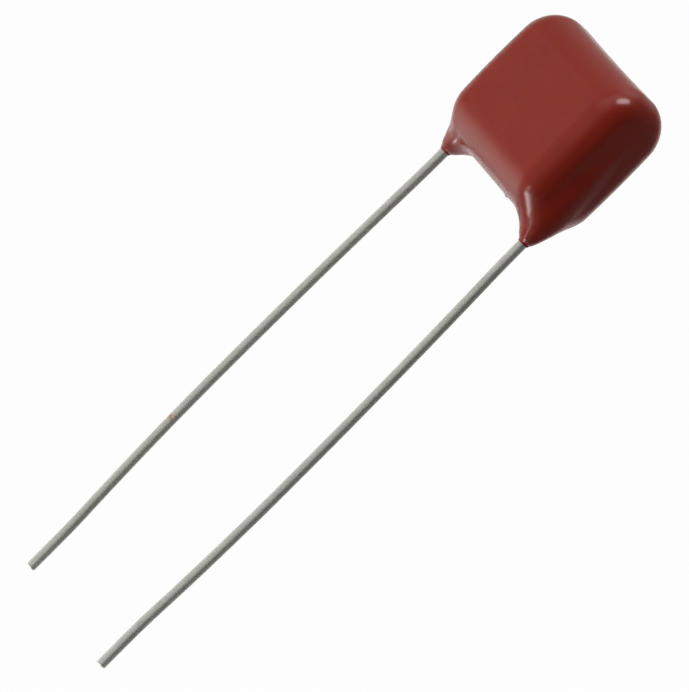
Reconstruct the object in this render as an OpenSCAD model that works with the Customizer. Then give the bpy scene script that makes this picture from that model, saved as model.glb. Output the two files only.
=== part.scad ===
// Dipped film capacitor, radial leads.
// Frame: origin midway between the leads on the board plane, +X along the
// lead pitch, +Z up through the body, leads down along -Z. Millimetres.

/* [Leads] */
// Distance between the lead centres
lead_pitch = 10; // [7.5:0.5:15]
// Wire diameter
lead_d = 0.6; // [0.5:0.05:0.8]
// Length of the left lead below the board plane
left_lead_length = 34.1; // [28:0.1:45]
// Length of the right lead below the board plane
right_lead_length = 33.9; // [28:0.1:45]
// How far each lead bows outwards between the coat and its tip
lead_bow = 0.38; // [0.1:0.01:0.8]
// Depth below the board plane at which the bow is widest
bow_depth = 19; // [14:0.5:21]
// Straight stretch at the tip of each lead
tip_straight = 2.6; // [1.5:0.1:5]
// Height of the lead's upper end above the board plane, inside the coat
lead_rise = 6.6; // [4:0.1:8.5]
// Slope of the sheared end, from square
shear_angle = 8; // [0:1:30]

/* [Film winding] */
// Thickness of the flattened roll
winding_thickness = 4.3; // [3:0.1:6]
// Height of the flattened roll
winding_height = 8.6; // [8:0.1:12]

/* [End contacts] */
// Thickness of the sprayed metal on each end of the roll
spray_thickness = 0.45; // [0.3:0.05:0.7]
// Border of bare roll left round the sprayed metal
spray_border = 0.3; // [0.1:0.05:0.6]
// Depth that the wire is pressed into the sprayed metal
lead_sink = 0.15; // [0.05:0.01:0.25]

/* [Coat] */
// Thickness of the coat over the flat faces of the roll
coat_wall = 0.5; // [0.45:0.05:0.9]
// Height of the body's underside above the board plane
body_rise = 1.1; // [0.7:0.05:2]
// Radius over the crown of the body, seen from the end
crown_radius = 2.3; // [1.6:0.05:2.6]
// Radius along the underside of the body, seen from the end
keel_radius = 2.35; // [1.6:0.05:2.6]
// Radius from the broad faces and the crown round to the ends
end_radius = 1.5; // [1:0.05:1.8]
// Radius of the four upright corners
corner_radius = 1.4; // [1:0.05:1.8]
// How much fuller the coat is at half height
belly = 0.1; // [0:0.01:0.25]
// How far the crown sags midway between the ends
crown_dip = 0.1; // [0:0.01:0.25]
// How far the coat sits forward of the leads
coat_forward = 0.1; // [0:0.01:0.2]
// Thickness of the coat at the tip of each collar
collar_tip = 0.07; // [0.04:0.01:0.15]
// Height of the lip in which each collar draws in to its tip
collar_lip = 0.25; // [0.1:0.05:0.6]
// Growth of the collar's radius for each millimetre up the lead
collar_flare = 0.3; // [0.1:0.01:0.5]
// Build-up of coat round the buried wire, which thins out up the body's ends
wire_cover = 0.45; // [0.2:0.01:0.6]
// Reach of the smooth blend between the collars and the body
collar_blend = 2; // [1.2:0.05:2.3]
// Height above the board plane at which the build-up and the blend have ended
blend_height = 9.5; // [8:0.1:12]

/* [Mesh] */
// Points round each section of the coat
ring_points = 48; // [32:4:56]
// Sections of the coat from one collar tip up to the end corner
wall_sections = 20; // [14:1:22]
// Sections round the end corner, up to the crown
corner_sections = 8; // [6:1:10]
// Sections along the crown from the corner to the middle
crown_sections = 7; // [5:1:9]

/* [Hidden] */

lead_r = lead_d / 2;
lead_x = lead_pitch / 2;

// The wire lies on the sprayed metal, sunk into it by lead_sink
spray_face_x = lead_x - lead_r + lead_sink;
winding_end_x = spray_face_x - spray_thickness;
winding_bottom = body_rise + coat_wall;
winding_mid_z = winding_bottom + winding_height / 2;

body_half_x = spray_face_x + coat_wall;
body_half_y = winding_thickness / 2 + coat_wall;
body_top = winding_bottom + winding_height + coat_wall;
body_mid_z = (body_rise + body_top) / 2;
body_half_z = (body_top - body_rise) / 2;

// A radius never takes more than the half thickness that it rounds
round_limit = body_half_y - 0.02;
crown_r = min(crown_radius, round_limit);
keel_r = min(keel_radius, round_limit);
end_r = min(end_radius, round_limit);
corner_r = min(corner_radius, round_limit);

collar_tip_r = lead_r + collar_tip;
cover_r = lead_r + wire_cover;
flare_blend = 0.4;
least_blend = 0.02;

// Share of each half of the bow that is the short bend at its end
end_bend_share = 0.15;
// Half the gap between two bends, and how far the ball that fills it stands
// proud of the wire
joint_gap = 0.01;
joint_swell = 0.002;
wire_facets = 48;
// Facets of a full turn, so that a bend of a degree or two has several
bend_facets = 1440;

// ---- Form of the coat: distance from its surface, negative inside ----

function clamp(v, low, high) = max(low, min(high, v));

// Two distances joined with a smooth blend that reaches k
function blend(a, b, k) =
    let (h = clamp(0.5 + 0.5 * (b - a) / k, 0, 1))
    b * (1 - h) + a * h - k * h * (1 - h);

// Distance from a rectangle with rounded corners, from one quarter of it
function round_rect(u, v, half_u, half_v, r) =
    let (du = u - half_u + r, dv = v - half_v + r)
    min(max(du, dv), 0) + norm([max(du, 0), max(dv, 0)]) - r;

// The dipped body without its collars
function body_distance(x, y, z) =
    let (
        up = clamp((z - body_mid_z) / body_half_z, -1, 1),
        swell = belly * (1 - up * up),
        u = abs(x) - swell,
        v = abs(y + coat_forward) - swell,
        top = body_top - crown_dip * (1 - pow(u / body_half_x, 2)),
        mid = (top + body_rise) / 2,
        half = (top - body_rise) / 2,
        r = z > mid ? crown_r : keel_r,
        section = round_rect(v, abs(z - mid), body_half_y, half, r),
        rounded_ends = round_rect(section, u, 0, body_half_x, end_r),
        plan = round_rect(u, v, body_half_x, body_half_y, corner_r)
    )
    max(rounded_ends, plan);

// What is left at a height of the build-up and the blend, from 1 down to 0
function fade(z) = clamp(1 - z / blend_height, 0, 1);

// The sleeve of coat along one wire: a flared collar, then a thinning cover
function sleeve_distance(x, y, z) =
    norm([abs(x) - lead_x, y])
    - blend(collar_tip_r + collar_flare * max(z, 0), cover_r * fade(z), flare_blend);

// How far the blend has opened out of the collar's lip, from 0 up to 1
function opening(z) = sqrt(clamp(z / collar_lip, 0, 1));

function coat_distance(p) = blend(
    body_distance(p.x, p.y, p.z),
    sleeve_distance(p.x, p.y, p.z),
    collar_blend * fade(p.z) * opening(p.z) + least_blend);

// ---- Skin of the coat: rings from one collar tip over to the other ----

search_steps = 18;
search_reach = 0.75 * body_top;

// Distance along a ray from inside the coat to its surface, by halving
function surface_at(from, along, near, far, steps) =
    let (middle = (near + far) / 2)
    steps == 0 ? middle :
    coat_distance(from + along * middle) < 0
        ? surface_at(from, along, middle, far, steps - 1)
        : surface_at(from, along, near, middle, steps - 1);

// Each ring lies in a plane through the Y direction, which joins a point of
// the outer guide to one of the inner guide. The outer guide goes up the end
// wall with closer steps near the collar, round the corner, along the crown.
corner_z = body_top - end_r;
corner_x = body_half_x - end_r;
outer_guide = concat(
    [for (i = [0 : wall_sections - 1])
        let (t = i / wall_sections)
        [body_half_x, corner_z * (0.3 * t + 0.7 * t * t)]],
    [for (i = [0 : corner_sections - 1])
        let (a = 90 * i / corner_sections)
        [corner_x + end_r * cos(a), corner_z + end_r * sin(a)]],
    [for (i = [0 : crown_sections])
        [corner_x * (1 - i / crown_sections), body_top]]);

// The inner guide stays in the open air: round a quarter circle between the
// collar and the underside, then level to the middle
guide_r = 0.75 * body_rise;
guide_x = lead_x - 2 * body_rise;
guide_bend = guide_r * PI / 2;

function inner_guide(run) =
    run < guide_bend
        ? let (a = 90 * run / guide_bend)
            [guide_x + guide_r * cos(a), 0, guide_r * sin(a)]
        : [guide_x - (run - guide_bend), 0, guide_r];

// Length of the outer guide up to its point number i
function run_to(i) = i == 0 ? 0 : run_to(i - 1) + norm(outer_guide[i] - outer_guide[i - 1]);
outer_length = run_to(len(outer_guide) - 1);

// Depth from the inner guide at which a plane is well inside the coat: where it
// crosses the wire, or halfway to the outer guide
function core_depth(foot, run) =
    foot.z + run.z < body_mid_z ? (lead_x - foot.x) / run.x * norm(run) : norm(run) / 2;

function ring(i) =
    let (
        share = run_to(i) / outer_length,
        foot = inner_guide(share * (guide_bend + guide_x)),
        run = [outer_guide[i].x, 0, outer_guide[i].y] - foot,
        along = run / norm(run),
        core = core_depth(foot, run),
        inner = core - surface_at(foot + along * core, -along, 0, core, search_steps),
        outer = core + surface_at(foot + along * core, along, 0, search_reach, search_steps),
        middle = foot + along * (inner + outer) / 2,
        half_run = (outer - inner) / 2,
        half_width = surface_at(middle, [0, 1, 0], 0, search_reach, search_steps),
        least = min(half_run, half_width)
    )
    [for (j = [0 : ring_points - 1])
        let (
            a = 360 * j / ring_points,
            from = middle + along * (half_run - least) * cos(a)
                + [0, 1, 0] * (half_width - least) * sin(a),
            way = along * cos(a) + [0, 1, 0] * sin(a)
        )
        from + way * surface_at(from, way, 0, search_reach, search_steps)];

// Two triangles over a four-sided patch, split along its shorter diagonal
function patch(points, a, b, c, d) =
    norm(points[a] - points[c]) < norm(points[b] - points[d])
        ? [[a, c, b], [a, d, c]]
        : [[a, d, b], [b, d, c]];

module coat_skin() {
    right_half = [for (i = [0 : len(outer_guide) - 1]) ring(i)];
    left_half = [for (i = [len(right_half) - 2 : -1 : 0])
        [for (p = right_half[i]) [-p.x, p.y, p.z]]];
    rings = concat(right_half, left_half);
    points = [for (r = rings) each r];
    n = ring_points;
    last = (len(rings) - 1) * n;
    skin = [for (i = [0 : n : last - 1]) for (j = [0 : n - 1])
        let (k = (j + 1) % n)
        each patch(points, i + j, i + k, i + n + k, i + n + j)];
    first_cap = [for (j = [0 : n - 1]) j];
    last_cap = [for (j = [n - 1 : -1 : 0]) last + j];
    polyhedron(points = points, faces = concat(skin, [first_cap, last_cap]));
}

// ---- Pieces ----

// Oblong with round ends, standing upright in the plane across the winding
module oblong(thickness, height) {
    flat = height - thickness;
    square([thickness, flat], center = true);
    for (side = [-1, 1])
        translate([0, side * flat / 2])
            circle(d = thickness, $fn = 96);
}

// Lays a section across the winding and extrudes it along +X from x
module along_x(x, length) {
    translate([x, 0, winding_mid_z])
        rotate([90, 0, 90])
            linear_extrude(length)
                children();
}

module winding_form() {
    along_x(-winding_end_x, 2 * winding_end_x)
        oblong(winding_thickness, winding_height);
}

module spray_form() {
    along_x(winding_end_x, spray_thickness)
        oblong(winding_thickness - 2 * spray_border, winding_height - 2 * spray_border);
}

module buried_wire() {
    translate([lead_x, 0, 0])
        cylinder(r = lead_r, h = lead_rise, $fn = wire_facets);
}

// A bend in the plane of the leads. It starts at the origin heading down,
// turns towards +X and stops joint_gap short of the angle.
module bend(radius, angle) {
    translate([radius, 0, 0])
        rotate([90, 0, 0])
            rotate([0, 0, 180])
                rotate_extrude(angle = angle - joint_gap / radius * 180 / PI, $fn = bend_facets)
                    translate([radius, 0])
                        circle(r = lead_r, $fn = wire_facets);
}

// One half of the bow, from where the wire runs straight down to where it is
// widest. It starts at the origin, heads down and ends run below and lead_bow
// out. A ball of the wire's own thickness joins its two bends.
module half_bow(run) {
    turn = 2 * atan(lead_bow / run);
    radii = run / sin(turn);
    short_r = end_bend_share * radii;
    long_r = radii - short_r;
    bend(short_r, turn);
    translate([short_r * (1 - cos(turn)), 0, -short_r * sin(turn)])
        sphere(r = lead_r + joint_swell, $fn = wire_facets);
    translate([lead_bow, 0, -run])
        rotate([0, 180, 0])
            bend(long_r, turn);
}

// The right lead. The wire is straight in the coat, bows outwards below it and
// is straight again at its tip, which is sheared on a slope.
module lead_form(length) {
    lower_run = length - bow_depth - tip_straight;
    buried_wire();
    translate([lead_x, 0, 0])
        half_bow(bow_depth);
    translate([lead_x, 0, tip_straight - length])
        mirror([0, 0, 1])
            half_bow(lower_run);
    difference() {
        translate([lead_x, 0, -length])
            cylinder(r = lead_r, h = tip_straight, $fn = wire_facets);
        translate([lead_x - lead_r, 0, -length])
            rotate([0, -shear_angle, 0])
                translate([-lead_d, -lead_d, -2 * lead_d])
                    cube([4 * lead_d, 2 * lead_d, 2 * lead_d]);
    }
}

module coat() {
    color([0.52, 0.2, 0.15])
        difference() {
            coat_skin();
            winding_form();
            for (side = [0, 1])
                mirror([side, 0, 0]) {
                    spray_form();
                    buried_wire();
                }
        }
}

module film_winding() {
    color([0.82, 0.83, 0.85])
        winding_form();
}

module end_spray() {
    color([0.6, 0.61, 0.62])
        difference() {
            spray_form();
            buried_wire();
        }
}

module end_spray_right() {
    end_spray();
}

module end_spray_left() {
    mirror([1, 0, 0])
        end_spray();
}

module lead_right() {
    color([0.75, 0.75, 0.73])
        lead_form(right_lead_length);
}

module lead_left() {
    color([0.75, 0.75, 0.73])
        mirror([1, 0, 0])
            lead_form(left_lead_length);
}

coat();
film_winding();
end_spray_left();
end_spray_right();
lead_left();
lead_right();
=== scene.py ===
import logging
import math
from dataclasses import dataclass, field
from enum import Enum
from typing import Any, Mapping, Sequence, Union

import bmesh
import bpy
import numpy as np
from mathutils import Euler, Matrix, Quaternion, Vector


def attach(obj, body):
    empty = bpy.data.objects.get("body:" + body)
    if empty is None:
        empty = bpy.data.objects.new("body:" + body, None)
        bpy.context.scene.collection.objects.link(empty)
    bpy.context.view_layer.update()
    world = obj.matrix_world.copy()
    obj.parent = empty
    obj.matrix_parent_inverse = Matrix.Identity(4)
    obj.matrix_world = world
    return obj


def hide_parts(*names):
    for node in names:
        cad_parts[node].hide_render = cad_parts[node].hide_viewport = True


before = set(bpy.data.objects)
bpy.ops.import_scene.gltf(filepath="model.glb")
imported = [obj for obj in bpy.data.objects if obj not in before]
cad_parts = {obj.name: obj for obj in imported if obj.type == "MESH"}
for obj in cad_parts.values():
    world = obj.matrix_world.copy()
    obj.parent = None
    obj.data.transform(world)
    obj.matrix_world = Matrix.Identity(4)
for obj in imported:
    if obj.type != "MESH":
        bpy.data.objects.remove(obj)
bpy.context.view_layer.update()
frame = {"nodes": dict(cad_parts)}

MM = 0.001
MERGE = 0.0005 * MM
HALF_PITCH = 5.0 * MM
Colour = tuple[float, float, float]
WHITE: Colour = (1.0, 1.0, 1.0)
Input = Union["Value", bpy.types.NodeSocket, float, Sequence[float]]
Field = Union[float, np.ndarray]
log = logging.getLogger("film_capacitor")


class Slot(Enum):
    """Material slots of the record that the new pieces belong to."""

    COAT = "epoxy_coat"
    WIRE = "tinned_wire"


class Side(Enum):
    """Ends of the lead pitch, as the sign of X."""

    LEFT = -1
    RIGHT = 1


# ---------------------------------------------------------------- shaders


class Value:
    """A number that varies over a surface: one output socket, with its arithmetic."""

    def __init__(self, shader: "Shader", socket: bpy.types.NodeSocket) -> None:
        """Wraps one output socket of a shader's node tree."""
        self.shader = shader
        self.socket = socket

    def _math(self, operation: str, first: Input, second: Input) -> "Value":
        """Adds one Math node.

        Args:
            operation: name of the Math node's operation.
            first: value of its first socket.
            second: value of its second socket.

        Returns:
            The node's result.
        """
        return self.shader.value(
            "ShaderNodeMath", {"operation": operation}, {0: first, 1: second}
        )

    def __add__(self, other: Input) -> "Value":
        """Returns self + other."""
        return self._math("ADD", self, other)

    def __radd__(self, other: Input) -> "Value":
        """Returns other + self."""
        return self._math("ADD", other, self)

    def __mul__(self, other: Input) -> "Value":
        """Returns self * other."""
        return self._math("MULTIPLY", self, other)

    def __rmul__(self, other: Input) -> "Value":
        """Returns other * self."""
        return self._math("MULTIPLY", other, self)

    def peak(self, other: Input) -> "Value":
        """Returns the larger of self and other."""
        return self._math("MAXIMUM", self, other)


class Shader:
    """The node tree of one material or of the world, laid out call by call."""

    def __init__(self, name: str, holder: bpy.types.World | None = None) -> None:
        """Starts an empty node tree.

        Args:
            name: name of the new material.
            holder: world that holds the tree, in place of a new material.
        """
        self.holder = holder or bpy.data.materials.new(name)
        self.holder.use_nodes = True
        self.tree = self.holder.node_tree
        self.tree.nodes.clear()

    def node(
        self,
        kind: str,
        settings: Mapping[str, Any] | None = None,
        inputs: Mapping[str | int, Input] | None = None,
    ) -> bpy.types.Node:
        """Adds a node.

        Args:
            kind: node type.
            settings: properties, set first; "stops" fills a colour ramp.
            inputs: values or links of its sockets, by name or number.

        Returns:
            The new node.
        """
        made = self.tree.nodes.new(kind)
        for name, value in (settings or {}).items():
            if name == "stops":
                self._fill_ramp(made.color_ramp, value)
            else:
                setattr(made, name, value)
        for key, value in (inputs or {}).items():
            self._feed(made.inputs[key], value)
        return made

    def value(
        self,
        kind: str,
        settings: Mapping[str, Any] | None = None,
        inputs: Mapping[str | int, Input] | None = None,
        output: str | int = 0,
    ) -> Value:
        """Adds a node as node() does, and returns one of its outputs."""
        return Value(self, self.node(kind, settings, inputs).outputs[output])

    def _feed(self, socket: bpy.types.NodeSocket, value: Input) -> None:
        """Links or sets one input socket.

        Args:
            socket: the input socket.
            value: a value or socket to link, or a constant to set.
        """
        if isinstance(value, Value):
            self.tree.links.new(value.socket, socket)
        elif isinstance(value, bpy.types.NodeSocket):
            self.tree.links.new(value, socket)
        elif socket.type == "RGBA" and len(value) == 3:
            socket.default_value = (*value, 1.0)
        else:
            socket.default_value = value

    @staticmethod
    def _fill_ramp(
        ramp: bpy.types.ColorRamp, stops: Sequence[tuple[float, float]]
    ) -> None:
        """Gives a ramp its grey stops.

        Args:
            ramp: the colour ramp of a node.
            stops: its stops, as (position, level) pairs.
        """
        while len(ramp.elements) < len(stops):
            ramp.elements.new(1.0)
        for element, (position, level) in zip(ramp.elements, stops):
            element.position = position
            element.color = (level, level, level, 1.0)

    def place(self, scale: Sequence[float] = (1.0, 1.0, 1.0)) -> Value:
        """Returns object coordinates, scaled along the axes."""
        here = self.value("ShaderNodeTexCoord", output="Object")
        return self.value("ShaderNodeMapping", {}, {"Vector": here, "Scale": scale})

    def noise(self, at: Value, size: float, detail: float = 2.0) -> Value:
        """Adds smooth noise.

        Args:
            at: coordinates.
            size: distance between its patches, in metres.
            detail: number of finer layers on it.

        Returns:
            The noise, from 0 to 1.
        """
        return self.value(
            "ShaderNodeTexNoise",
            {},
            {"Vector": at, "Scale": 1.0 / size, "Detail": detail},
        )

    def ramp(self, level: Value, *stops: tuple[float, float]) -> Value:
        """Returns level taken through a ramp of (position, level) stops."""
        return self.value("ShaderNodeValToRGB", {"stops": stops}, {0: level})

    def between(self, level: Value, span: tuple[float, float]) -> Value:
        """Returns 0 where level is under the span, 1 over it, and a slope between."""
        return self.ramp(level, (span[0], 0.0), (span[1], 1.0))

    def mixed(self, share: Input, first: Input, second: Input) -> Value:
        """Returns first mixed into second by share, as a colour."""
        return self.value(
            "ShaderNodeMix", {"data_type": "RGBA"}, {0: share, 6: first, 7: second}, 2
        )

    def bump(self, height: Value, depth: float) -> Value:
        """Returns a normal for a surface relief of a depth in metres."""
        return self.value(
            "ShaderNodeBump", {}, {"Height": height, "Strength": 1.0, "Distance": depth}
        )

    def surface(self, inputs: Mapping[str | int, Input]) -> bpy.types.Material:
        """Closes the material with a Principled BSDF and returns it."""
        skin = self.value("ShaderNodeBsdfPrincipled", {}, inputs)
        self.node("ShaderNodeOutputMaterial", {}, {"Surface": skin})
        return self.holder


@dataclass(frozen=True)
class EpoxyFinish:
    """Red-brown dipped epoxy: smooth, glossy, with a faint unevenness of the dip."""

    colour: Colour = (0.207, 0.0165, 0.0050)
    cool_colour: Colour = (0.203, 0.0145, 0.0120)
    thin_colour: Colour = (0.235, 0.019, 0.009)
    ior: float = 1.45
    gloss: float = 0.19
    mottle: float = 0.4 * MM
    mottle_span: tuple[float, float] = (0.35, 0.65)
    patch: float = 2.2 * MM
    patch_span: tuple[float, float] = (0.35, 0.7)
    patch_share: float = 0.5
    speck: float = 0.06 * MM
    speck_share: float = 0.2
    speck_dulling: float = 0.03
    ripple: float = 1.1 * MM
    ripple_depth: float = 0.004 * MM

    def material(self) -> bpy.types.Material:
        """Returns the finish as a material.

        Returns:
            The material of the coat and of what dripped from it.
        """
        shader = Shader("epoxy_dip")
        at = shader.place()
        mottles = shader.between(shader.noise(at, self.mottle), self.mottle_span)
        colour = shader.mixed(mottles, self.colour, self.cool_colour)
        patches = shader.noise(at, self.patch, detail=1.0)
        specks = shader.noise(at, self.speck)
        ripples = shader.noise(at, self.ripple, detail=1.0)
        thin = shader.between(patches, self.patch_span) * self.patch_share
        share = thin + specks * self.speck_share
        return shader.surface(
            {
                "Base Color": shader.mixed(share, colour, self.thin_colour),
                "IOR": self.ior,
                "Roughness": self.gloss + specks * self.speck_dulling,
                "Normal": shader.bump(ripples, self.ripple_depth),
            }
        )


@dataclass(frozen=True)
class TinFinish:
    """Tinned wire, slightly dull, with fine drawing lines along it."""

    colour: Colour = (0.82, 0.83, 0.80)
    dull_colour: Colour = (0.69, 0.695, 0.65)
    edge: Colour = (0.75, 0.75, 0.72)
    metal: float = 0.9
    gloss: float = 0.37
    line_width: float = 0.03 * MM
    line_length: float = 1.6 * MM
    line_dulling: float = 0.05
    patch: float = 0.7 * MM
    patch_span: tuple[float, float] = (0.35, 0.75)
    patch_dulling: float = 0.08
    patch_relief: float = 0.6
    relief: float = 0.003 * MM

    def material(self) -> bpy.types.Material:
        """Returns the finish as a material.

        Returns:
            The material of the leads.
        """
        shader = Shader("tinned_wire_finish")
        along = (1.0, 1.0, self.line_width / self.line_length)
        lines = shader.noise(shader.place(along), self.line_width)
        patches = shader.noise(shader.place(), self.patch, detail=3.0)
        dull = shader.between(patches, self.patch_span)
        dulling = dull * self.patch_dulling + lines * self.line_dulling
        return shader.surface(
            {
                "Base Color": shader.mixed(dull, self.colour, self.dull_colour),
                "Metallic": self.metal,
                "Specular Tint": self.edge,
                "Roughness": self.gloss + dulling,
                "Normal": shader.bump(lines + patches * self.patch_relief, self.relief),
            }
        )


@dataclass(frozen=True)
class FilmFinish:
    """Wound metallised film: silvery, with the fine lines of its turns."""

    colour: Colour = (0.66, 0.67, 0.69)
    turn_colour: Colour = (0.5, 0.51, 0.54)
    metal: float = 0.7
    gloss: float = 0.28
    turn: float = 0.05 * MM
    turn_stretch: float = 0.04
    turn_dulling: float = 0.1
    relief: float = 0.002 * MM

    def material(self) -> bpy.types.Material:
        """Returns the finish as a material.

        Returns:
            The material of the winding.
        """
        shader = Shader("wound_film")
        across = (self.turn_stretch, 1.0, 1.0)
        turns = shader.noise(shader.place(across), self.turn, detail=1.0)
        return shader.surface(
            {
                "Base Color": shader.mixed(turns, self.colour, self.turn_colour),
                "Metallic": self.metal,
                "Roughness": self.gloss + turns * self.turn_dulling,
                "Normal": shader.bump(turns, self.relief),
            }
        )


@dataclass(frozen=True)
class SprayFinish:
    """Sprayed zinc: matt and grainy, built up of flattened droplets."""

    colour: Colour = (0.34, 0.345, 0.35)
    grain_colour: Colour = (0.48, 0.485, 0.49)
    metal: float = 0.9
    gloss: float = 0.5
    grain: float = 0.09 * MM
    grain_dulling: float = 0.25
    relief: float = 0.03 * MM

    def material(self) -> bpy.types.Material:
        """Returns the finish as a material.

        Returns:
            The material of the contact layers.
        """
        shader = Shader("sprayed_zinc_finish")
        grains = shader.noise(shader.place(), self.grain, detail=3.0)
        return shader.surface(
            {
                "Base Color": shader.mixed(grains, self.colour, self.grain_colour),
                "Metallic": self.metal,
                "Roughness": self.gloss + grains * self.grain_dulling,
                "Normal": shader.bump(grains, self.relief),
            }
        )


# ----------------------------------------------------------------- shapes


def add_piece(
    name: str, mesh: bmesh.types.BMesh, finish: bpy.types.Material
) -> bpy.types.Object:
    """Turns a bmesh into a smooth-shaded object at the origin.

    Args:
        name: name of the piece.
        mesh: its shape, which is freed.
        finish: its material.

    Returns:
        The new object, linked to the scene.
    """
    data = bpy.data.meshes.new(name)
    mesh.to_mesh(data)
    mesh.free()
    data.polygons.foreach_set("use_smooth", [True] * len(data.polygons))
    data.materials.append(finish)
    piece = bpy.data.objects.new(name, data)
    bpy.context.scene.collection.objects.link(piece)
    return piece


def direction(azimuth: float, elevation: float) -> Vector:
    """Returns the direction at an azimuth from the front and an elevation, in radians."""
    return Vector(
        (
            math.sin(azimuth) * math.cos(elevation),
            -math.cos(azimuth) * math.cos(elevation),
            math.sin(elevation),
        )
    )


def unit(vectors: np.ndarray) -> np.ndarray:
    """Returns an array of vectors, each brought to length 1."""
    return vectors / np.linalg.norm(vectors, axis=1)[:, None]


def smooth_union(first: Field, second: Field, reach: Field) -> np.ndarray:
    """Joins two distances with a smooth blend.

    Args:
        first: distance from the first form.
        second: distance from the second form.
        reach: difference of the distances at which the blend ends.

    Returns:
        The distance from both forms together.
    """
    share = np.clip(0.5 + 0.5 * (second - first) / reach, 0.0, 1.0)
    return second * (1 - share) + first * share - reach * share * (1 - share)


def round_rect(
    u: np.ndarray, v: np.ndarray, half_u: Field, half_v: Field, radius: Field
) -> np.ndarray:
    """Works out the distance from a rectangle with rounded corners.

    Args:
        u: places across it, from its middle and without their sign.
        v: places up it, from its middle and without their sign.
        half_u: half of its width.
        half_v: half of its height.
        radius: radius of its corners.

    Returns:
        The distance, which is negative inside.
    """
    over_u = u - half_u + radius
    over_v = v - half_v + radius
    inside = np.minimum(np.maximum(over_u, over_v), 0.0)
    outside = np.hypot(np.maximum(over_u, 0.0), np.maximum(over_v, 0.0))
    return inside + outside - radius


@dataclass(frozen=True)
class CoatForm:
    """Form of the dip coat as a distance from its surface. Millimetres."""

    half_x: float = 5.35
    half_y: float = 2.65
    bottom: float = 1.1
    top: float = 10.7
    crown_radius: float = 2.3
    keel_radius: float = 2.35
    end_radius: float = 1.5
    corner_radius: float = 1.4
    belly: float = 0.1
    crown_dip: float = 0.1
    forward: float = 0.1
    side_bow: float = 0.0
    side_reach: float = 2.2
    lead_x: float = HALF_PITCH / MM
    collar_radius: float = 0.37
    collar_flare: float = 0.3
    cover_radius: float = 0.75
    flare_blend: float = 0.4
    collar_lip: float = 0.1
    collar_blend: float = 2.0
    blend_height: float = 9.5
    least_blend: float = 0.02
    probe: float = 1e-4

    def body(self, x: np.ndarray, y: np.ndarray, z: np.ndarray) -> np.ndarray:
        """Works out the distance from the body without its collars.

        Args:
            x: places along the pitch of the leads.
            y: places through the body, from the front to the back.
            z: heights over the tips of the collars.

        Returns:
            The distance at each place, which is negative inside.
        """
        middle = (self.bottom + self.top) / 2
        up = np.clip((z - middle) / ((self.top - self.bottom) / 2), -1.0, 1.0)
        swell = self.belly * (1 - up * up)
        v = np.abs(y + self.forward) - swell
        turn = np.clip(np.abs(v) / self.side_reach, 0.0, 1.0) * (np.pi / 2)
        u = np.abs(x) - swell + self.side_bow * (x > 0) * np.sin(turn) ** 2
        top = self.top - self.crown_dip * (1 - (u / self.half_x) ** 2)
        mid = (top + self.bottom) / 2
        half = (top - self.bottom) / 2
        radius = np.where(z > mid, self.crown_radius, self.keel_radius)
        section = round_rect(v, np.abs(z - mid), self.half_y, half, radius)
        ends = round_rect(section, u, 0.0, self.half_x, self.end_radius)
        plan = round_rect(u, v, self.half_x, self.half_y, self.corner_radius)
        return np.maximum(ends, plan)

    def distance(self, points: np.ndarray) -> np.ndarray:
        """Works out the distance from the whole skin.

        Args:
            points: one point to a row.

        Returns:
            The distance of each point, which is negative inside.
        """
        x, y, z = points[:, 0], points[:, 1], points[:, 2]
        fade = np.clip(1 - z / self.blend_height, 0.0, 1.0)
        flare = self.collar_radius + self.collar_flare * np.maximum(z, 0.0)
        sleeve = np.hypot(np.abs(x) - self.lead_x, y) - smooth_union(
            flare, self.cover_radius * fade, self.flare_blend
        )
        opening = 1 - np.exp(-np.maximum(z, 0.0) / self.collar_lip)
        reach = self.collar_blend * fade * opening + self.least_blend
        return smooth_union(self.body(x, y, z), sleeve, reach)

    def slope(self, points: np.ndarray) -> np.ndarray:
        """Works out the gradient of the distance, by central differences.

        Args:
            points: one point to a row.

        Returns:
            The gradient at each point.
        """
        rises = [
            self.distance(points + step) - self.distance(points - step)
            for step in self.probe * np.eye(3)
        ]
        return np.stack(rises, axis=1) / (2 * self.probe)


@dataclass(frozen=True)
class Droplet:
    """A small swelling of the coat, such as a drip mark. Millimetres."""

    at: tuple[float, float, float]
    radius: float
    height: float

    def rise(self, points: np.ndarray) -> np.ndarray:
        """Returns how far the skin rises at each point."""
        away = np.linalg.norm(points - np.array(self.at), axis=1)
        return self.height * np.exp(-((away / self.radius) ** 2))


@dataclass(frozen=True)
class Wrinkle:
    """A fine raised line in the coat between two points. Millimetres."""

    start: tuple[float, float, float]
    end: tuple[float, float, float]
    width: float
    height: float
    end_share: float = 0.02

    def rise(self, points: np.ndarray) -> np.ndarray:
        """Works out how far the skin rises.

        Args:
            points: one point to a row.

        Returns:
            The rise at each point.
        """
        start, end = np.array(self.start), np.array(self.end)
        run = end - start
        share = np.clip((points - start) @ run / (run @ run), 0.0, 1.0)
        away = np.linalg.norm(points - start - share[:, None] * run, axis=1)
        inner = np.clip(share, self.end_share, 1 - self.end_share)
        taper = np.sqrt(np.sin(np.pi * inner))
        return self.height * taper * np.exp(-((away / self.width) ** 2))


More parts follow.
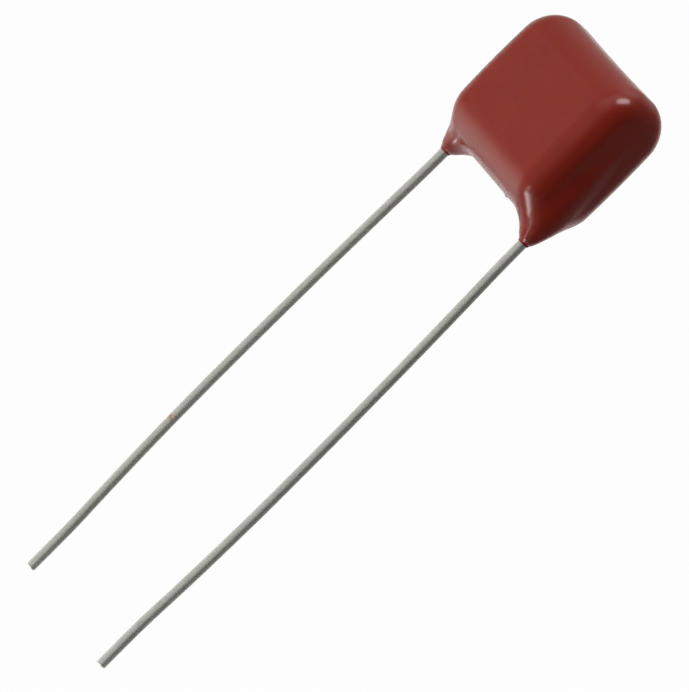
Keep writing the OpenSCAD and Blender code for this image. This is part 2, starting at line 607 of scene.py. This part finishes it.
@dataclass
class DipCoat:
    """The epoxy coat: the solid's own shell with a smooth outer skin."""

    form: CoatForm = CoatForm(collar_radius=0.345, side_bow=0.07)
    solid_form: CoatForm = CoatForm()
    cuts: int = 3
    passes: int = 6
    skin_depth: float = 0.05
    rim_height: float = 1e-3
    least_slope: float = 1e-6
    least_mark: float = 1e-4
    marks: tuple[Droplet | Wrinkle, ...] = (
        Droplet(at=(1.64, -0.3, 1.1), radius=0.16, height=0.09),
        Wrinkle(start=(5.3, -1.6, 2.46), end=(5.36, -1.77, 3.49), width=0.06, height=0.035),
    )
    finish: EpoxyFinish = EpoxyFinish()

    def build(self, solid: bpy.types.Object) -> bpy.types.Object:
        """Builds the coat over a merged copy of its solid.

        Args:
            solid: the CAD node that the coat replaces.

        Returns:
            The finished piece.
        """
        mesh = bmesh.new()
        mesh.from_mesh(solid.data)
        bmesh.ops.remove_doubles(mesh, verts=mesh.verts, dist=MERGE)
        skin = self._skin_faces(mesh)
        for face in mesh.faces:
            face.material_index = int(face in skin)
        edges = {edge for face in skin for edge in face.edges}
        bmesh.ops.subdivide_edges(
            mesh, edges=list(edges), cuts=self.cuts, use_grid_fill=True
        )
        verts = [v for v in mesh.verts if any(f.material_index for f in v.link_faces)]
        self._settle(verts)
        for face in mesh.faces:
            face.material_index = 0
        bmesh.ops.triangulate(mesh, faces=[f for f in mesh.faces if len(f.verts) > 4])
        normals = self._normals(mesh, verts)
        piece = add_piece("dip_coat", mesh, self.finish.material())
        piece.data.normals_split_custom_set_from_vertices(normals)
        return piece

    def _skin_faces(self, mesh: bmesh.types.BMesh) -> set[bmesh.types.BMFace]:
        """Finds the faces of the outer skin.

        Args:
            mesh: the merged copy of the solid.

        Returns:
            The faces whose corners all lie on the solid's form.
        """
        mesh.verts.index_update()
        points = np.array([v.co[:] for v in mesh.verts]) / MM
        on_skin = np.abs(self.solid_form.distance(points)) < self.skin_depth
        return {f for f in mesh.faces if all(on_skin[v.index] for v in f.verts)}

    def _settle(self, verts: list[bmesh.types.BMVert]) -> None:
        """Moves the outer skin onto the form, and raises its marks.

        Args:
            verts: the skin's vertices. Those on the rims of the collars stay level.
        """
        points = np.array([v.co[:] for v in verts]) / MM
        on_rim = points[:, 2] < self.rim_height
        free = 1 - on_rim[:, None] * np.array([0.0, 0.0, 1.0])
        for _ in range(self.passes):
            slope = self.form.slope(points) * free
            size = np.maximum((slope**2).sum(axis=1), self.least_slope)
            points -= slope * (self.form.distance(points) / size)[:, None]
        outward = unit(self.form.slope(points) * free)
        for mark in self.marks:
            points += outward * mark.rise(points)[:, None]
        for vert, point in zip(verts, points * MM):
            vert.co = point

    def _normals(
        self, mesh: bmesh.types.BMesh, skin: list[bmesh.types.BMVert]
    ) -> list[tuple[float, ...]]:
        """Takes the skin's normals from the form, where no mark is raised on it.

        Args:
            mesh: the whole coat.
            skin: the vertices of its outer skin.

        Returns:
            A normal for every vertex of the coat.
        """
        mesh.normal_update()
        mesh.verts.index_update()
        normals = np.array([v.normal[:] for v in mesh.verts])
        points = np.array([v.co[:] for v in skin]) / MM
        rows = np.array([v.index for v in skin])
        plain = sum(mark.rise(points) for mark in self.marks) < self.least_mark
        normals[rows[plain]] = unit(self.form.slope(points))[plain]
        return [tuple(normal) for normal in normals]


@dataclass
class WireLead:
    """A tinned wire lead: straight in the coat, bowed below it, sheared at the tip."""

    side: Side
    length: float
    x: float = HALF_PITCH
    radius: float = 0.3 * MM
    rise: float = 6.6 * MM
    bow: float = 0.38 * MM
    bow_depth: float = 19.0 * MM
    tip_straight: float = 2.6 * MM
    short_share: float = 0.15
    shear: float = math.radians(8.0)
    rim: float = 0.1 * MM
    facets: int = 40
    short_steps: int = 6
    wide_steps: int = 20
    rim_steps: int = 5
    finish: TinFinish = TinFinish()

    def build(self) -> bpy.types.Object:
        """Builds the wire from its buried end down to its tip.

        Returns:
            The finished piece.
        """
        mesh = bmesh.new()
        ring = bmesh.ops.create_circle(
            mesh,
            cap_ends=True,
            radius=self.radius,
            segments=self.facets,
            matrix=Matrix.Translation((self.x, 0.0, self.rise)),
        )["verts"]
        last = list({edge for vert in ring for edge in vert.link_edges})
        last = self._straight(mesh, last, self.rise)
        last = self._half_bow(mesh, last, 0.0, self.bow_depth, opening=True)
        lower = self.length - self.bow_depth - self.tip_straight
        last = self._half_bow(mesh, last, -self.bow_depth, lower, opening=False)
        self._straight(mesh, last, self.tip_straight)
        self._shear_tip(mesh)
        if self.side is Side.LEFT:
            bmesh.ops.scale(mesh, vec=(-1.0, 1.0, 1.0), verts=mesh.verts)
        bmesh.ops.remove_doubles(mesh, verts=mesh.verts, dist=MERGE)
        bmesh.ops.recalc_face_normals(mesh, faces=mesh.faces)
        name = f"tinned_lead_{self.side.name.lower()}"
        return add_piece(name, mesh, self.finish.material())

    @staticmethod
    def _straight(
        mesh: bmesh.types.BMesh, edges: list[bmesh.types.BMEdge], run: float
    ) -> list[bmesh.types.BMEdge]:
        """Extrudes a ring of edges straight down.

        Args:
            mesh: the wire so far.
            edges: its last ring.
            run: how far down the wire goes.

        Returns:
            The new last ring.
        """
        made = bmesh.ops.extrude_edge_only(mesh, edges=edges)["geom"]
        verts = [part for part in made if isinstance(part, bmesh.types.BMVert)]
        bmesh.ops.translate(mesh, vec=(0.0, 0.0, -run), verts=verts)
        return [
            part
            for part in made
            if isinstance(part, bmesh.types.BMEdge)
            and all(vert in verts for vert in part.verts)
        ]

    def _bend(
        self,
        mesh: bmesh.types.BMesh,
        edges: list[bmesh.types.BMEdge],
        centre: tuple[float, float],
        turn: float,
        steps: int,
    ) -> list[bmesh.types.BMEdge]:
        """Spins a ring of edges round a centre.

        Args:
            mesh: the wire so far.
            edges: its last ring.
            centre: X and Z of the bend's centre.
            turn: angle of the bend.
            steps: number of its steps.

        Returns:
            The new last ring.
        """
        made = bmesh.ops.spin(
            mesh,
            geom=edges,
            cent=(centre[0], 0.0, centre[1]),
            axis=(0.0, 1.0, 0.0),
            angle=turn,
            steps=steps,
            use_merge=False,
        )["geom_last"]
        return [part for part in made if isinstance(part, bmesh.types.BMEdge)]

    def _half_bow(
        self,
        mesh: bmesh.types.BMesh,
        edges: list[bmesh.types.BMEdge],
        z: float,
        run: float,
        opening: bool,
    ) -> list[bmesh.types.BMEdge]:
        """Adds one half of the bow as two opposite bends.

        Args:
            mesh: the wire so far.
            edges: its last ring.
            z: height at which the half starts.
            run: its length down the lead.
            opening: whether it leads out to the bow's widest point or back in.

        Returns:
            The new last ring.
        """
        turn = 2 * math.atan(self.bow / run)
        radii = run / math.sin(turn)
        short, wide = self.short_share * radii, (1 - self.short_share) * radii
        short_x, wide_x = self.x + short, self.x + self.bow - wide
        if opening:
            edges = self._bend(mesh, edges, (short_x, z), -turn, self.short_steps)
            return self._bend(mesh, edges, (wide_x, z - run), turn, self.wide_steps)
        edges = self._bend(mesh, edges, (wide_x, z), turn, self.wide_steps)
        return self._bend(mesh, edges, (short_x, z - run), -turn, self.short_steps)

    def centre_at(self, z: float) -> float:
        """Works out where the wire runs in the lower half of its bow.

        Args:
            z: height of the place.

        Returns:
            X of the wire's centre there.
        """
        lower = self.length - self.bow_depth - self.tip_straight
        turn = 2 * math.atan(self.bow / lower)
        wide = (1 - self.short_share) * lower / math.sin(turn)
        down = -self.bow_depth - z
        inward = wide - math.sqrt(wide**2 - down**2)
        return self.side.value * (self.x + self.bow - inward)

    def _shear_tip(self, mesh: bmesh.types.BMesh) -> None:
        """Cuts the tip on a slope and rounds the rim of the cut.

        Args:
            mesh: the whole wire, before it is mirrored.
        """
        low = (self.x - self.radius, 0.0, -self.length)
        normal = (math.sin(self.shear), 0.0, -math.cos(self.shear))
        cut = bmesh.ops.bisect_plane(
            mesh,
            geom=[*mesh.verts, *mesh.edges, *mesh.faces],
            plane_co=low,
            plane_no=normal,
            clear_outer=True,
        )["geom_cut"]
        rim = [part for part in cut if isinstance(part, bmesh.types.BMEdge)]
        bmesh.ops.edgeloop_fill(mesh, edges=rim)
        bmesh.ops.bevel(
            mesh,
            geom=rim,
            offset=self.rim,
            segments=self.rim_steps,
            profile=0.5,
            affect="EDGES",
            material=-1,
        )


@dataclass
class EpoxyFleck:
    """A thin smear of epoxy that dripped onto a lead and wraps part of the way round."""

    lead: WireLead
    height: float = -22.03 * MM
    turn: float = math.radians(30.0)
    half_width: float = 0.26 * MM
    half_height: float = 0.17 * MM
    thickness: float = 0.06 * MM
    subdivisions: int = 4
    finish: EpoxyFinish = EpoxyFinish(
        colour=(0.56, 0.35, 0.25),
        cool_colour=(0.30, 0.17, 0.11),
        thin_colour=(0.60, 0.46, 0.38),
    )

    def build(self) -> bpy.types.Object:
        """Builds the smear from a ball that is flattened and bent round the wire.

        Returns:
            The finished piece.
        """
        mesh = bmesh.new()
        bmesh.ops.create_icosphere(mesh, subdivisions=self.subdivisions, radius=1.0)
        centre_x = self.lead.centre_at(self.height)
        for vert in mesh.verts:
            along, out, up = vert.co
            angle = self.turn + along * self.half_width / self.lead.radius
            reach = self.lead.radius + out * self.thickness
            vert.co = (
                centre_x + reach * math.sin(angle),
                -reach * math.cos(angle),
                self.height + up * self.half_height,
            )
        bmesh.ops.recalc_face_normals(mesh, faces=mesh.faces)
        return add_piece("epoxy_fleck", mesh, self.finish.material())


# ----------------------------------------------------------------- studio


@dataclass
class Viewpoint:
    """The camera, turned about its own axis so that the part lies diagonally."""

    azimuth: float = math.radians(47.13)
    elevation: float = math.radians(6.62)
    turn: float = math.radians(45.0)
    distance: float = 0.3
    across: float = 0.408 * MM
    height: float = -11.57 * MM
    lens: float = 275.0
    sensor: float = 36.0
    nearest: float = 0.01
    farthest: float = 50.0

    def build(self) -> bpy.types.Object:
        """Creates the camera and makes it the scene's.

        Returns:
            The camera.
        """
        back = direction(self.azimuth, self.elevation)
        right = direction(self.azimuth + math.radians(90.0), 0.0)
        up = direction(self.azimuth, self.elevation + math.radians(90.0))
        target = right * self.across + Vector((0.0, 0.0, self.height))
        across = right * math.cos(self.turn) + up * math.sin(self.turn)
        upward = up * math.cos(self.turn) - right * math.sin(self.turn)
        data = bpy.data.cameras.new("camera")
        data.lens = self.lens
        data.sensor_width = self.sensor
        data.clip_start = self.nearest
        data.clip_end = self.farthest
        camera = bpy.data.objects.new("camera", data)
        turned = Matrix((across, upward, back)).transposed().to_4x4()
        camera.matrix_world = Matrix.Translation(target + back * self.distance) @ turned
        bpy.context.scene.collection.objects.link(camera)
        bpy.context.scene.camera = camera
        return camera


@dataclass(frozen=True)
class SoftBox:
    """A lamp that faces the coat. Angles are in degrees, and sizes in metres."""

    name: str
    azimuth: float
    elevation: float
    wide: float
    high: float
    radiance: float
    roll: float = 0.0
    mirrored: bool = True
    lighting: bool = True
    distance: float = 0.35
    aim: tuple[float, float, float] = (0.0, 0.0, 5.0 * MM)

    def build(self) -> bpy.types.Object:
        """Creates the lamp.

        Returns:
            The lamp.
        """
        back = direction(math.radians(self.azimuth), math.radians(self.elevation))
        data = bpy.data.lights.new(self.name, "AREA")
        data.shape = "RECTANGLE"
        data.size = self.wide
        data.size_y = self.high
        data.energy = self.radiance * math.pi * self.wide * self.high
        lamp = bpy.data.objects.new(self.name, data)
        lamp.location = Vector(self.aim) + back * self.distance
        lamp.rotation_mode = "QUATERNION"
        turn = Quaternion((0.0, 0.0, 1.0), math.radians(self.roll))
        lamp.rotation_quaternion = back.to_track_quat("Z", "Y") @ turn
        lamp.visible_camera = False
        lamp.visible_glossy = self.mirrored
        lamp.visible_diffuse = self.lighting
        bpy.context.scene.collection.objects.link(lamp)
        return lamp


@dataclass(frozen=True)
class Screen:
    """A soft-edged part of a dome, which shapes reflections. Angles are in degrees."""

    name: str
    azimuth: float
    elevation: float
    across: float
    upward: float
    core: float
    level: float
    radius: float
    tint: Colour = (1.0, 0.97, 0.91)
    facets: int = 64
    depth: float = 1000.0

    def build(self) -> bpy.types.Object:
        """Creates the screen.

        Returns:
            The screen, a half dome that glows in the middle and is clear at the rim.
        """
        turn = (0.0, -math.radians(self.elevation), math.radians(self.azimuth - 90.0))
        mesh = bmesh.new()
        bmesh.ops.create_uvsphere(
            mesh,
            u_segments=self.facets,
            v_segments=self.facets // 2,
            radius=self.radius,
        )
        bmesh.ops.bisect_plane(
            mesh,
            geom=[*mesh.verts, *mesh.edges, *mesh.faces],
            plane_co=(0.0, 0.0, 0.0),
            plane_no=Euler(turn).to_matrix() @ Vector((1.0, 0.0, 0.0)),
            clear_inner=True,
        )
        screen = add_piece(self.name, mesh, self._cloth(turn))
        screen.visible_camera = False
        screen.visible_diffuse = False
        screen.visible_shadow = False
        return screen

    def _cloth(self, turn: Sequence[float]) -> bpy.types.Material:
        """Makes an even glow that fades to clear towards the screen's rim.

        Args:
            turn: rotation from the X axis to the screen's middle.

        Returns:
            The material of the screen.
        """
        shader = Shader(f"{self.name}_cloth")
        wide = self.radius * math.sin(math.radians(self.across))
        high = self.radius * math.sin(math.radians(self.upward))
        local = shader.value(
            "ShaderNodeMapping",
            {"vector_type": "TEXTURE"},
            {
                "Vector": shader.value("ShaderNodeTexCoord", output="Object"),
                "Rotation": turn,
                "Scale": (self.depth, wide, high),
            },
        )
        away = shader.value(
            "ShaderNodeVectorMath", {"operation": "LENGTH"}, {0: local}, "Value"
        )
        clear = shader.value("ShaderNodeBsdfTransparent")
        glow = shader.value(
            "ShaderNodeEmission", {}, {"Color": self.tint, "Strength": self.level}
        )
        share = shader.ramp(away, (self.core, 1.0), (1.0, 0.0))
        both = shader.value("ShaderNodeMixShader", {}, {0: share, 1: clear, 2: glow})
        shader.node("ShaderNodeOutputMaterial", {}, {"Surface": both})
        return shader.holder


@dataclass
class Studio:
    """White floor and surround, soft lamps, and screens for the reflections."""

    floor_level: float = -34.15 * MM
    floor_radius: float = 12.0
    floor_facets: int = 64
    floor_colour: Colour = (0.2, 0.2, 0.2)
    glow_share: float = 0.98
    fill: float = 0.1
    lamps: tuple[SoftBox, ...] = (
        SoftBox("strip_above", 38.0, 60.8, 0.17, 0.11, 8.0, roll=52.0, lighting=False),
        SoftBox("strip_below", 28.0, -66.5, 0.14, 0.06, 10.0, lighting=False),
        SoftBox("strip_tip", 20.0, -49.0, 0.025, 0.04, 10.0, lighting=False),
        SoftBox("spot_behind", -119.0, -64.0, 0.05, 0.14, 10.0, lighting=False),
        SoftBox("lamp_key", 0.0, 24.0, 0.24, 0.24, 5.7, mirrored=False),
        SoftBox("lamp_under", -10.0, -56.0, 0.3, 0.3, 3.6, mirrored=False),
        SoftBox("lamp_top", -140.0, 60.0, 0.3, 0.3, 3.0, mirrored=False),
        SoftBox("lamp_behind", 170.0, -10.0, 0.3, 0.3, 2.2, mirrored=False),
    )
    screens: tuple[Screen, ...] = (
        Screen("screen_glow", -70.0, -41.5, 32.0, 24.0, 0.3, 1.42, 0.36),
        Screen("screen_dusk", -115.0, -48.0, 26.0, 15.0, 0.4, 0.6, 0.363),
        Screen("screen_dark", 80.0, 2.0, 52.0, 70.0, 0.5, 0.02, 0.37),
        Screen("screen_low", -20.0, -80.0, 30.0, 30.0, 0.5, 0.5, 0.375),
        Screen("screen_grey", 112.0, 20.0, 80.0, 76.0, 0.9, 0.16, 0.38),
        Screen("screen_high", -140.0, 42.0, 80.0, 30.0, 0.6, 0.45, 0.383),
        Screen("screen_upper", -60.0, 38.0, 50.0, 30.0, 0.5, 0.42, 0.386),
        Screen("screen_front", 32.0, 0.0, 75.0, 64.0, 0.75, 0.37, 0.389),
        Screen("screen_back", -160.0, 0.0, 80.0, 40.0, 0.6, 0.75, 0.392),
        Screen("screen_pale", -33.0, -6.0, 75.0, 60.0, 0.6, 0.53, 0.395),
    )

    def build(self) -> None:
        """Creates the floor, the surround, the lamps and the screens."""
        self._floor()
        self._surround()
        for part in (*self.lamps, *self.screens):
            part.build()
        bpy.context.scene.view_settings.view_transform = "Standard"

    @staticmethod
    def _seen(shader: Shader) -> Value:
        """Tells rays that show the background from those that light the part.

        Args:
            shader: the node tree that asks.

        Returns:
            1 for rays that show the background, and 0 for the others.
        """
        rays = shader.node("ShaderNodeLightPath")
        camera = Value(shader, rays.outputs["Is Camera Ray"])
        glossy = Value(shader, rays.outputs["Is Glossy Ray"])
        clear = Value(shader, rays.outputs["Is Transmission Ray"])
        return camera.peak(glossy).peak(clear)

    def _floor(self) -> None:
        """Creates the floor under the tips of the leads."""
        mesh = bmesh.new()
        bmesh.ops.create_circle(
            mesh,
            cap_ends=True,
            radius=self.floor_radius,
            segments=self.floor_facets,
            matrix=Matrix.Translation((0.0, 0.0, self.floor_level)),
        )
        shader = Shader("white_floor")
        matt = shader.value("ShaderNodeBsdfDiffuse", {}, {"Color": self.floor_colour})
        glow = shader.value(
            "ShaderNodeEmission", {}, {"Color": WHITE, "Strength": 1.0}
        )
        share = self._seen(shader) * self.glow_share
        both = shader.value("ShaderNodeMixShader", {}, {0: share, 1: matt, 2: glow})
        shader.node("ShaderNodeOutputMaterial", {}, {"Surface": both})
        floor = add_piece("floor", mesh, shader.holder)
        floor.visible_shadow = False
        floor.visible_glossy = False

    def _surround(self) -> None:
        """Makes the world white where it is seen, and a soft fill elsewhere."""
        world = bpy.data.worlds.new("surround")
        bpy.context.scene.world = world
        shader = Shader("surround", world)
        colour = shader.mixed(self._seen(shader), (self.fill,) * 3, WHITE)
        light = shader.value(
            "ShaderNodeBackground", {}, {"Color": colour, "Strength": 1.0}
        )
        shader.node("ShaderNodeOutputWorld", {}, {"Surface": light})


# ------------------------------------------------------------------- part


@dataclass
class FilmCapacitor:
    """The whole part: its coat, its two leads and what the coat hides."""

    coat: DipCoat = field(default_factory=DipCoat)
    leads: tuple[WireLead, ...] = (
        WireLead(Side.LEFT, length=34.1 * MM),
        WireLead(Side.RIGHT, length=33.9 * MM),
    )
    film: FilmFinish = FilmFinish()
    spray: SprayFinish = SprayFinish()

    def build(self, nodes: Mapping[str, bpy.types.Object]) -> None:
        """Builds and dresses every piece.

        Args:
            nodes: the CAD nodes by name.
        """
        coat = self.coat.build(nodes["coat"])
        self._own(coat, Slot.COAT, "coat")
        for lead in self.leads:
            self._own(lead.build(), Slot.WIRE, f"lead_{lead.side.name.lower()}")
        self._own(EpoxyFleck(self.leads[0]).build(), Slot.COAT)
        self._dress(nodes["film_winding"], self.film.material())
        zinc = self.spray.material()
        for side in Side:
            self._dress(nodes[f"end_spray_{side.name.lower()}"], zinc)

    @staticmethod
    def _own(piece: bpy.types.Object, slot: Slot, node: str | None = None) -> None:
        """Lets a new piece ride on the part.

        Args:
            piece: the new piece.
            slot: its material slot, which is not used.
            node: the CAD node that it stands for, if there is one.
        """
        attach(piece, "root")
        if node:
            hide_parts(node)
        log.info("%s: %d faces", piece.name, len(piece.data.polygons))

    @staticmethod
    def _dress(node: bpy.types.Object, finish: bpy.types.Material) -> None:
        """Gives a CAD node its finish."""
        node.material_slots[0].material = finish
        log.info("%s: dressed in %s", node.name, finish.name)


def main() -> None:
    """Builds the camera, the part and the studio."""
    logging.basicConfig(level=logging.INFO, format="%(name)s: %(message)s")
    Viewpoint().build()
    FilmCapacitor().build(frame["nodes"])
    Studio().build()


if __name__ == "__main__":
    main()
